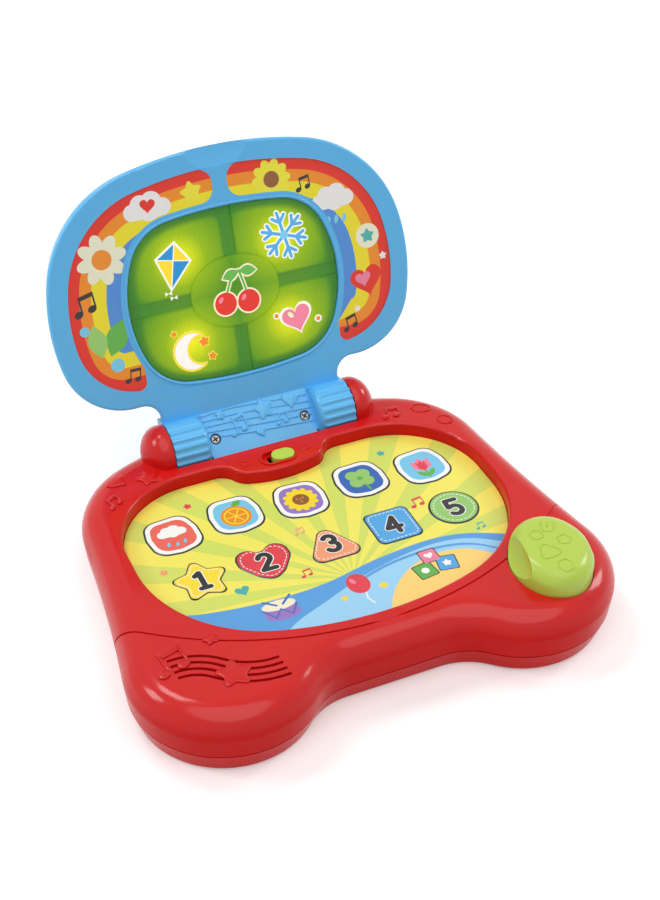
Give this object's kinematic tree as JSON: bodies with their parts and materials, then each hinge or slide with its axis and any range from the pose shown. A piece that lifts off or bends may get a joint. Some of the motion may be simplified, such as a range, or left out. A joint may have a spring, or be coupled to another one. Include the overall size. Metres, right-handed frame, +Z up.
{
  "type": "toy laptop computer",
  "caption": "Toddler's toy laptop: rounded base with a printed keypad, mouse button and slider, and a hinged lid with a lit screen.",
  "frame": {"origin": "centre of the underside, on the table", "axes": "+X to the child's right, +Y to the back, +Z up"},
  "size_m": [0.2308, 0.2392, 0.1679],
  "materials": {
    "red_shell": "glossy moulded plastic",
    "blue_shell": "glossy moulded plastic",
    "lime_plastic": "glossy moulded plastic",
    "printed_sheet": "printed film, satin",
    "printed_panel": "printed film, satin",
    "green_lens": "ribbed translucent plastic",
    "white_plastic": "matte moulded plastic",
    "board": "fibre board",
    "dark_plastic": "matte moulded plastic",
    "steel": "plated steel",
    "rubber": "silicone rubber",
    "cell_wrap": "wrapped metal can",
    "paper_cone": "treated paper",
    "wire_skin": "soft wire insulation"
  },
  "bodies": {
    "base": {"base_top_shell": "red_shell", "base_bottom_shell": "red_shell", "keypad_overlay": "printed_sheet", "keypad_membrane": "white_plastic", "slide_switch_body": "dark_plastic", "mouse_contact_dome": "rubber", "mouse_switch_board": "board", "main_circuit_board": "board", "board_parts": "dark_plastic", "speaker_frame": "steel", "speaker_cone": "paper_cone", "speaker_magnet": "steel", "battery_cells": "cell_wrap", "battery_plates": "steel", "battery_springs": "steel", "battery_door": "red_shell", "battery_door_screw": "steel", "base_screws": "steel", "base_lead": "wire_skin"},
    "lid": {"lid_front_shell": "blue_shell", "lid_back_shell": "blue_shell", "hinge_cover": "blue_shell", "hinge_cover_screws": "steel", "left_hinge_pin": "steel", "right_hinge_pin": "steel", "screen_lens": "green_lens", "screen_diffuser": "white_plastic", "light_box": "white_plastic", "led_board": "board", "screen_leds": "white_plastic", "left_picture_panel": "printed_panel", "right_picture_panel": "printed_panel", "lid_screws": "steel", "lid_lead": "wire_skin"},
    "slider": {"slider_knob": "lime_plastic", "slide_switch_lever": "white_plastic"},
    "mouse": {"mouse_button": "lime_plastic"}
  },
  "joints": [
    {"name": "lid_hinge", "type": "hinge", "parent": "base", "child": "lid", "pos_m": [0, 0.0796, 0.0355], "axis": [1, 0, 0], "range_deg": [0, 108]},
    {"name": "slider_slide", "type": "slide", "parent": "base", "child": "slider", "axis": [1, 0, 0], "range_m": [-0.005, 0]},
    {"name": "mouse_press", "type": "slide", "parent": "base", "child": "mouse", "axis": [0, 0, 1], "range_m": [-0.0025, 0], "stiffness_N_per_m": 400, "springref_m": 0.002, "deforming": ["mouse_contact_dome"]}
  ]
}
